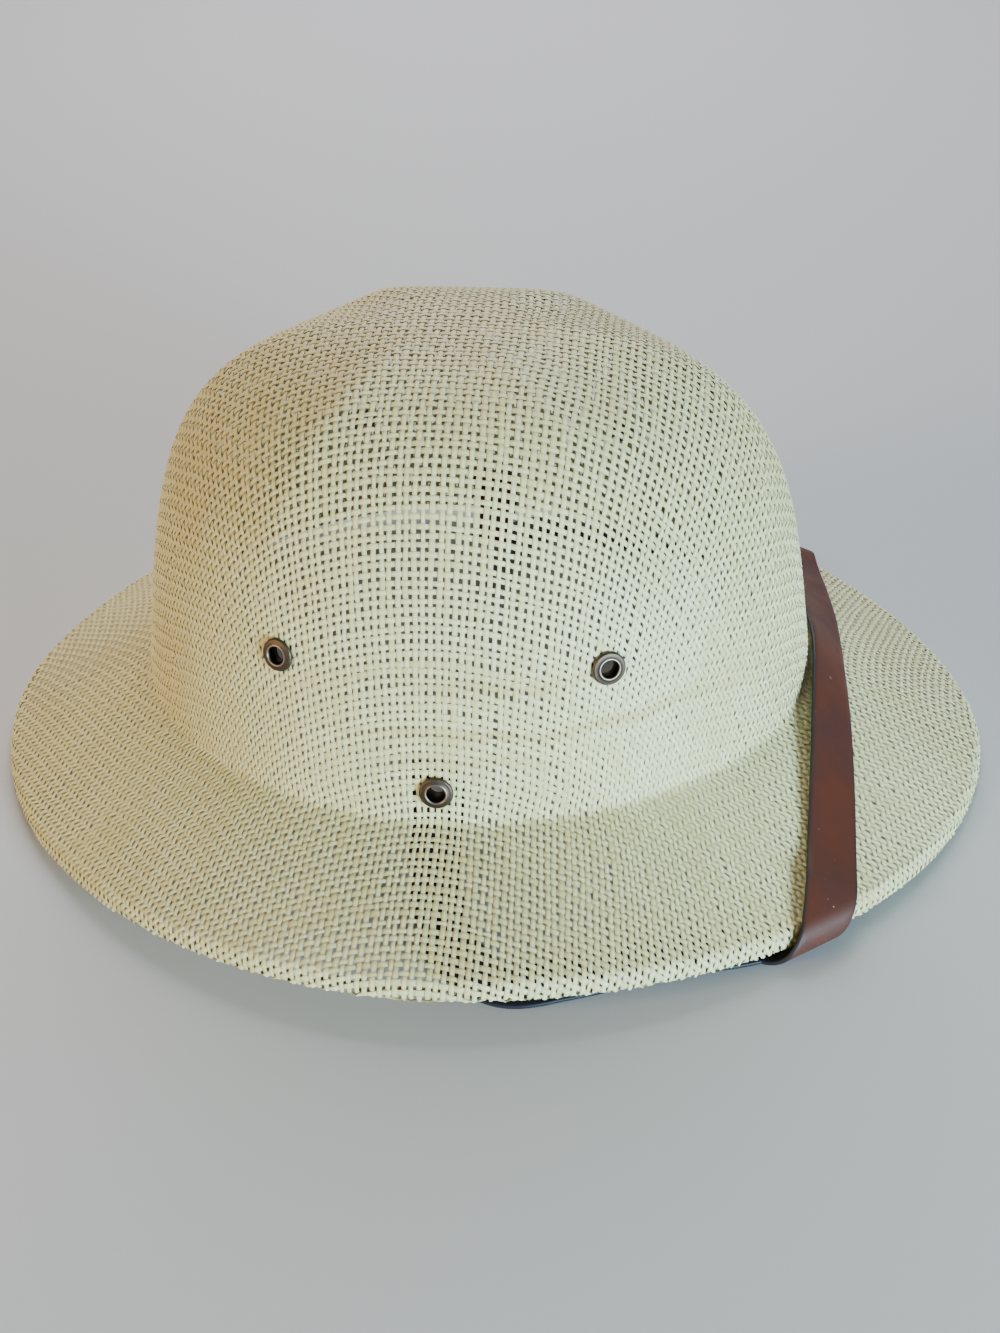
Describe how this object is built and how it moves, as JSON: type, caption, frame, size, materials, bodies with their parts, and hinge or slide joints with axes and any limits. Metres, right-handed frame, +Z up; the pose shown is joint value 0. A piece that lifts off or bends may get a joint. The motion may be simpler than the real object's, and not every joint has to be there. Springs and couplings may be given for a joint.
{
  "type": "pith helmet",
  "caption": "Woven straw sun helmet with a high ridged crown, a wide down-turned brim, vent eyelets and a flat chin strap laid over the front of the brim.",
  "frame": {"origin": "under the middle of the hat's length, on the surface that the front and back of the brim rest on", "axes": "+X to the front of the hat, +Y to the wearer's left, +Z up"},
  "size_m": [0.34, 0.2942, 0.1488],
  "materials": {
    "straw": "plain weave of flat cream paper straw, matt, with a slight sheen on the yarns",
    "strap_vinyl": "smooth satin brown, near black on the back and along the cut edges",
    "old_brass": "dark antique brass, brighter where the rolled flange is rubbed"
  },
  "bodies": {
    "root": {"shell": "straw", "chin_strap": "strap_vinyl", "eyelet_right_front": "old_brass", "eyelet_right_back": "old_brass", "eyelet_right_low": "old_brass", "eyelet_left_front": "old_brass", "eyelet_left_back": "old_brass", "eyelet_left_low": "old_brass"}
  },
  "joints": []
}
